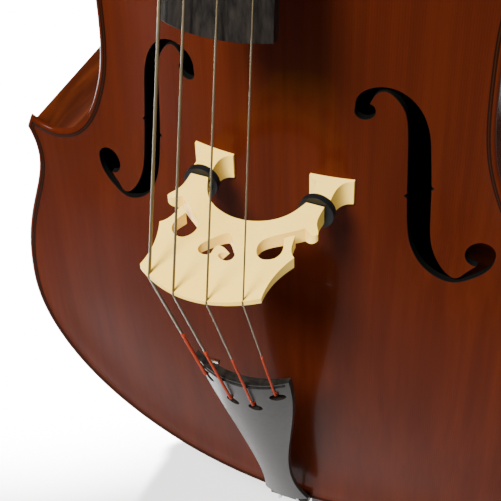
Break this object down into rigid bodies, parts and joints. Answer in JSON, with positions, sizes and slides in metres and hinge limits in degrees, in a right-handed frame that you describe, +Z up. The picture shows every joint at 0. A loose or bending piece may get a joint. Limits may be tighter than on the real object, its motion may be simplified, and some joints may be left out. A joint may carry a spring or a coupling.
{
  "type": "double bass",
  "caption": "Three-quarter size double bass with a carved arched top, f-holes, adjustable bridge, ebony tailpiece and fingerboard, geared tuning machines and a sliding endpin.",
  "frame": {"origin": "middle of the flat foot of the endpin's rubber ferrule, on the floor when the bass stands upright", "axes": "+Z up along the body to the scroll, -Y out of the front (strings and f-holes), +X to the right seen from the front (the thin-string side)"},
  "size_m": [0.644, 0.4507, 1.9909],
  "materials": {
    "top_wood": "gloss red-brown varnish over straight spruce grain",
    "maple_varnished": "gloss red-brown varnish over flamed maple",
    "inner_wood": "bare softwood",
    "bridge_wood": "bare maple",
    "ebony": "polished ebony",
    "black_metal": "black anodised wheels",
    "string_steel": "flat-wound steel",
    "silk": "orange-red thread winding",
    "ball_metal": "nickel-plated ridged ball ends",
    "machine_brass": "aged brass",
    "steel": "plain steel",
    "rubber": "black rubber"
  },
  "bodies": {
    "bass": {"top_plate": "top_wood", "back_plate": "maple_varnished", "rib_lower_left": "maple_varnished", "rib_lower_right": "maple_varnished", "rib_middle_left": "maple_varnished", "rib_middle_right": "maple_varnished", "rib_upper_left": "maple_varnished", "rib_upper_right": "maple_varnished", "linings_front": "inner_wood", "linings_back": "inner_wood", "corner_blocks": "inner_wood", "upper_block": "inner_wood", "lower_block": "inner_wood", "bass_bar": "inner_wood", "sound_post": "inner_wood", "neck": "maple_varnished", "fingerboard": "ebony", "nut": "ebony", "saddle": "ebony", "tailpiece": "ebony", "tailpiece_fret": "ebony", "tail_wire": "steel", "endpin_plug": "ebony", "endpin_collar": "steel", "bridge_foot_left": "bridge_wood", "bridge_foot_right": "bridge_wood", "plate_screws": "machine_brass", "string_E": "string_steel", "string_A": "string_steel", "string_D": "string_steel", "string_G": "string_steel", "silk_E": "silk", "silk_A": "silk", "silk_D": "silk", "silk_G": "silk", "ball_end_E": "ball_metal", "ball_end_A": "ball_metal", "ball_end_D": "ball_metal", "ball_end_G": "ball_metal", "machine_plate_E": "machine_brass", "machine_plate_A": "machine_brass", "machine_plate_D": "machine_brass", "machine_plate_G": "machine_brass"},
    "bridge_top": {"bridge": "bridge_wood"},
    "adjuster_wheel_left": {"adjuster_left": "black_metal"},
    "adjuster_wheel_right": {"adjuster_right": "black_metal"},
    "thumb_screw": {"endpin_thumb_screw": "machine_brass"},
    "endpin": {"endpin_rod": "steel", "endpin_ferrule": "rubber"},
    "key_E": {"worm_key_E": "machine_brass"},
    "roller_E": {"barrel_E": "machine_brass"},
    "key_A": {"worm_key_A": "machine_brass"},
    "roller_A": {"barrel_A": "machine_brass"},
    "key_D": {"worm_key_D": "machine_brass"},
    "roller_D": {"barrel_D": "machine_brass"},
    "key_G": {"worm_key_G": "machine_brass"},
    "roller_G": {"barrel_G": "machine_brass"}
  },
  "joints": [
    {"name": "endpin_slide", "type": "slide", "parent": "bass", "child": "endpin", "axis": [0, 0, -1], "range_m": [-0.07, 0.2]},
    {"name": "thumb_screw_turn", "type": "hinge", "parent": "bass", "child": "thumb_screw", "pos_m": [0, -0.02, 0.11], "axis": [0, -1, 0], "range_deg": [0, 360]},
    {"name": "adjuster_left_spin", "type": "hinge", "parent": "bass", "child": "adjuster_wheel_left", "pos_m": [-0.0558, -0.1694, 0.69], "axis": [0, -1, 0], "range_deg": [0, 1440]},
    {"name": "adjuster_right_spin", "type": "hinge", "parent": "bass", "child": "adjuster_wheel_right", "pos_m": [0.0558, -0.1694, 0.69], "axis": [0, -1, 0], "range_deg": [0, 1440]},
    {"name": "bridge_lift", "type": "slide", "parent": "bass", "child": "bridge_top", "axis": [0, -1, 0], "range_m": [0, 0.006], "deforming": ["string_E", "string_A", "string_D", "string_G", "silk_E", "silk_A", "silk_D", "silk_G"]},
    {"name": "key_E_spin", "type": "hinge", "parent": "bass", "child": "key_E", "pos_m": [-0.034, -0.03398, 1.79789], "axis": [0, 0.9397, -0.342], "continuous": true},
    {"name": "roller_E_spin", "type": "hinge", "parent": "bass", "child": "roller_E", "pos_m": [0, -0.04082, 1.77909], "axis": [1, 0, 0], "continuous": true},
    {"name": "key_A_spin", "type": "hinge", "parent": "bass", "child": "key_A", "pos_m": [-0.034, -0.00935, 1.86554], "axis": [0, 0.9397, -0.342], "continuous": true},
    {"name": "roller_A_spin", "type": "hinge", "parent": "bass", "child": "roller_A", "pos_m": [0, -0.01619, 1.84675], "axis": [1, 0, 0], "continuous": true},
    {"name": "key_D_spin", "type": "hinge", "parent": "bass", "child": "key_D", "pos_m": [0.034, 0.00023, 1.89186], "axis": [0, 0.9397, -0.342], "continuous": true},
    {"name": "roller_D_spin", "type": "hinge", "parent": "bass", "child": "roller_D", "pos_m": [0, -0.00662, 1.87306], "axis": [1, 0, 0], "continuous": true},
    {"name": "key_G_spin", "type": "hinge", "parent": "bass", "child": "key_G", "pos_m": [0.034, -0.0244, 1.8242], "axis": [0, 0.9397, -0.342], "continuous": true},
    {"name": "roller_G_spin", "type": "hinge", "parent": "bass", "child": "roller_G", "pos_m": [0, -0.03124, 1.8054], "axis": [1, 0, 0], "continuous": true}
  ],
  "couplings": [
    {"joint": "adjuster_left_spin", "follows": "bridge_lift", "rad_per_m": 4188.8},
    {"joint": "adjuster_right_spin", "follows": "bridge_lift", "rad_per_m": 4188.8},
    {"joint": "roller_E_spin", "follows": "key_E_spin", "ratio": -0.041667},
    {"joint": "roller_A_spin", "follows": "key_A_spin", "ratio": -0.041667},
    {"joint": "roller_D_spin", "follows": "key_D_spin", "ratio": 0.041667},
    {"joint": "roller_G_spin", "follows": "key_G_spin", "ratio": 0.041667}
  ]
}
